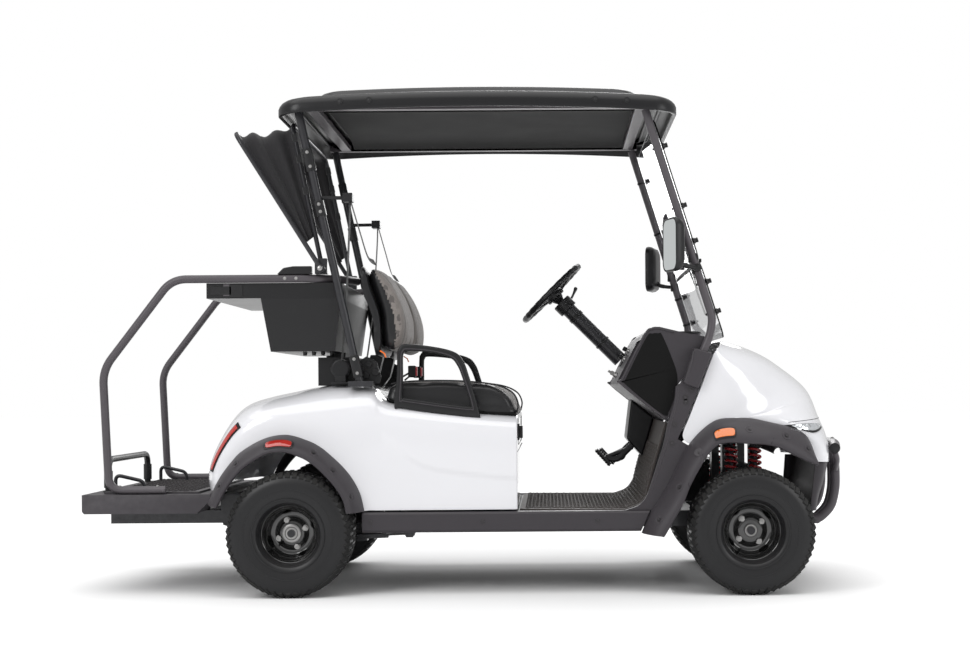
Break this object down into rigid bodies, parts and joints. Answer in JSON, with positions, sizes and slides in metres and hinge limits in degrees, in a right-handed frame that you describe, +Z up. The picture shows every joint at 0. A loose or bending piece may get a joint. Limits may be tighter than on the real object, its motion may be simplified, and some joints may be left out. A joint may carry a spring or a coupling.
{
  "type": "electric golf cart",
  "caption": "Open golf cart with a bench seat, roof, windscreen, bag deck with rails, basket and rain cover hoop; its wheels roll and steer.",
  "frame": {"origin": "middle of the box round the cart, on the ground", "axes": "+X towards the nose, +Y to the left, +Z up"},
  "size_m": [2.8535, 1.2532, 1.883],
  "materials": {
    "frame_black": "satin black powder coat",
    "battery_case": "moulded case",
    "charcoal_plastic": "fine moulded grain",
    "black_plastic": "semi-gloss moulded",
    "floor_rubber": "ribbed rubber",
    "white_body": "gloss white",
    "amber_lens": "amber lens",
    "red_lens": "red lens",
    "headlight_lens": "clear lens",
    "clear_screen": "clear acrylic",
    "seat_fabric": "woven, striped",
    "seat_vinyl": "grained vinyl",
    "cover_cloth": "coated nylon",
    "spring_red": "gloss red",
    "tyre": "new rubber",
    "rim_black": "gloss black"
  },
  "bodies": {
    "chassis": {"chassis_frame": "frame_black", "battery_pack": "battery_case", "rear_axle": "frame_black", "leaf_springs": "frame_black", "rockers": "charcoal_plastic", "floor_pan": "charcoal_plastic", "floor_mat": "floor_rubber", "front_cowl": "white_body", "front_flares": "charcoal_plastic", "amber_markers": "amber_lens", "headlights": "headlight_lens", "front_bumper": "charcoal_plastic", "brush_guard": "frame_black", "dashboard": "charcoal_plastic", "steering_column": "frame_black", "column_cover": "charcoal_plastic", "pedals": "frame_black", "front_legs": "charcoal_plastic", "windshield_struts": "frame_black", "windshield_upper": "clear_screen", "windshield_lower": "clear_screen", "mirrors": "black_plastic", "roof": "black_plastic", "roof_frame": "frame_black", "rear_struts": "frame_black", "rear_body": "white_body", "rear_flares": "charcoal_plastic", "red_markers": "red_lens", "tail_lights": "red_lens", "seat_back_shell": "black_plastic", "seat_backs": "seat_fabric", "armrests": "charcoal_plastic", "bag_deck": "charcoal_plastic", "bag_rails": "frame_black", "basket": "black_plastic", "cover_fabric": "cover_cloth", "front_hoop": "frame_black", "front_suspension": "frame_black", "coil_springs": "spring_red"},
    "steering_wheel": {"steering_wheel": "black_plastic"},
    "knuckle_left": {"knuckle_left": "frame_black"},
    "knuckle_right": {"knuckle_right": "frame_black"},
    "tie_rods": {"tie_rods": "frame_black"},
    "wheel_front_left": {"tyre_front_left": "tyre", "rim_front_left": "rim_black"},
    "wheel_front_right": {"tyre_front_right": "tyre", "rim_front_right": "rim_black"},
    "wheel_rear_left": {"tyre_rear_left": "tyre", "rim_rear_left": "rim_black"},
    "wheel_rear_right": {"tyre_rear_right": "tyre", "rim_rear_right": "rim_black"},
    "seat": {"seat_cushion": "seat_vinyl"},
    "cover_hoop": {"rear_hoop": "frame_black"}
  },
  "joints": [
    {"name": "steer_left", "type": "hinge", "parent": "chassis", "child": "knuckle_left", "pos_m": [1.037, 0.4, 0.2285], "axis": [0, 0, 1], "range_deg": [-25, 25]},
    {"name": "steer_right", "type": "hinge", "parent": "chassis", "child": "knuckle_right", "pos_m": [1.037, -0.4, 0.2285], "axis": [0, 0, 1], "range_deg": [-25, 25]},
    {"name": "tie_rod_slide", "type": "slide", "parent": "chassis", "child": "tie_rods", "axis": [0, 1, 0], "range_m": [-0.049, 0.049]},
    {"name": "steering_wheel_turn", "type": "hinge", "parent": "chassis", "child": "steering_wheel", "pos_m": [0.317, 0.27, 1.152], "axis": [-0.7084, 0, 0.7058], "range_deg": [-270, 270]},
    {"name": "seat_tilt", "type": "hinge", "parent": "chassis", "child": "seat", "pos_m": [-0.298, 0, 0.745], "axis": [0, -1, 0], "range_deg": [0, 40]},
    {"name": "cover_fold", "type": "hinge", "parent": "chassis", "child": "cover_hoop", "pos_m": [-0.536, 0, 1.2], "axis": [0, -1, 0], "range_deg": [0, 42], "deforming": ["cover_fabric"]},
    {"name": "wheel_front_left_spin", "type": "hinge", "parent": "knuckle_left", "child": "wheel_front_left", "pos_m": [1.037, 0.4925, 0.2285], "axis": [0, 1, 0], "continuous": true},
    {"name": "wheel_front_right_spin", "type": "hinge", "parent": "knuckle_right", "child": "wheel_front_right", "pos_m": [1.037, -0.4925, 0.2285], "axis": [0, 1, 0], "continuous": true},
    {"name": "wheel_rear_left_spin", "type": "hinge", "parent": "chassis", "child": "wheel_rear_left", "pos_m": [-0.643, 0.4925, 0.2285], "axis": [0, 1, 0], "continuous": true},
    {"name": "wheel_rear_right_spin", "type": "hinge", "parent": "chassis", "child": "wheel_rear_right", "pos_m": [-0.643, -0.4925, 0.2285], "axis": [0, 1, 0], "continuous": true}
  ],
  "couplings": [
    {"joint": "steer_right", "follows": "steer_left", "ratio": 1},
    {"joint": "tie_rod_slide", "follows": "steer_left", "m_per_rad": -0.11},
    {"joint": "steering_wheel_turn", "follows": "steer_left", "ratio": 10.8}
  ]
}
